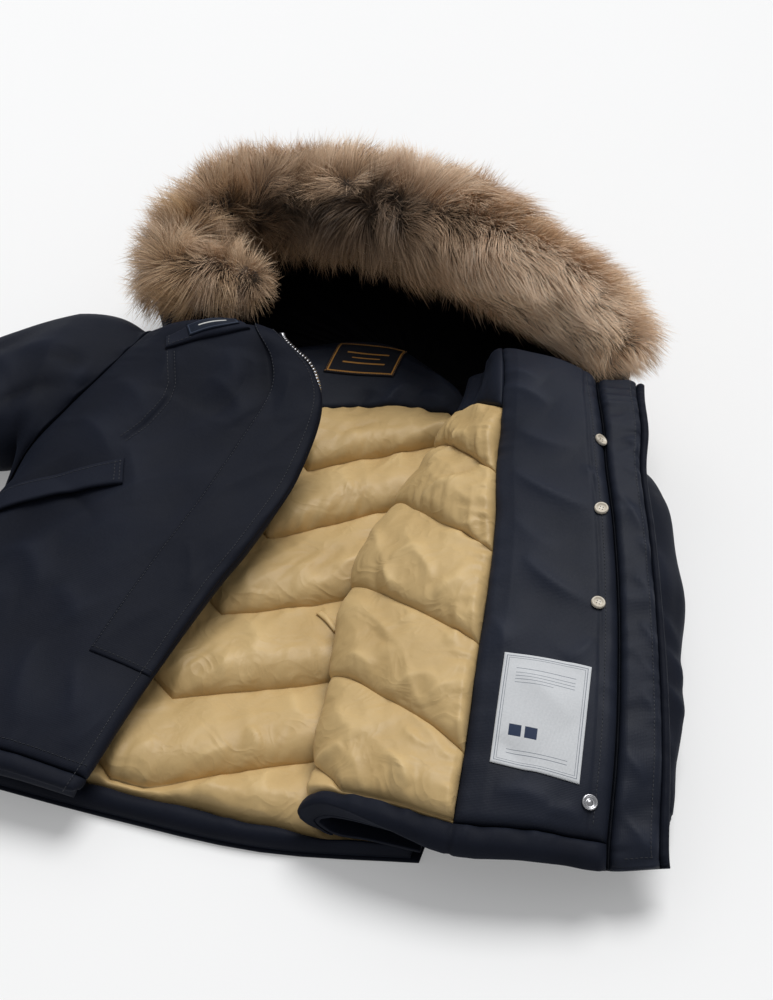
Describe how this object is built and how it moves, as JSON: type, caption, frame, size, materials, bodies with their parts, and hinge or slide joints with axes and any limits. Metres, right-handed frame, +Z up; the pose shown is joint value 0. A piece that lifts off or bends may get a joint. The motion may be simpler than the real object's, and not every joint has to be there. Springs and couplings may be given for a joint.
{
  "type": "fur trimmed parka",
  "caption": "Child's hooded down parka with a fur ruff, lying on its back and opened to show its quilted lining, one front folded outward over its sleeve.",
  "frame": {"origin": "on the floor under the centre of the back, near chest level, on the flat underside of the back", "axes": "+X towards the wearer's left side, +Y from the hem towards the hood, +Z up from the floor"},
  "size_m": [0.9887, 0.707, 0.176],
  "materials": {
    "shell_cloth": "matte tightly woven cotton and nylon",
    "facing_cloth": "matte woven",
    "lining_cloth": "quilted satin with a soft sheen",
    "fur": "long soft hair, tan with dark roots",
    "zip_tape": "ribbed tape",
    "dark_label": "woven satin",
    "white_label": "printed satin",
    "bone_button": "polished horn look",
    "snap_metal": "satin"
  },
  "bodies": {
    "root": {"back_shell": "shell_cloth", "back_lining": "lining_cloth", "back_hem_facing": "facing_cloth", "back_neck_facing": "facing_cloth", "neck_label": "dark_label", "lining_tab": "lining_cloth", "left_front": "shell_cloth", "left_hem_band": "shell_cloth", "left_fly": "shell_cloth", "left_zip_tape": "zip_tape", "left_pocket_flap": "shell_cloth", "hood_tab": "shell_cloth", "hood_tab_patch": "dark_label", "left_sleeve": "shell_cloth", "right_front_shell": "shell_cloth", "right_front_lining": "lining_cloth", "right_facing": "facing_cloth", "right_hem_band": "facing_cloth", "right_zip_tape": "zip_tape", "right_fly": "shell_cloth", "right_fly_binding": "shell_cloth", "right_shoulder_facing": "facing_cloth", "inside_label": "white_label", "button_1": "bone_button", "button_2": "bone_button", "button_3": "bone_button", "snap": "snap_metal", "right_sleeve": "shell_cloth", "hood_shell": "shell_cloth", "hood_lining": "facing_cloth", "fur_ruff": "fur"}
  },
  "joints": []
}
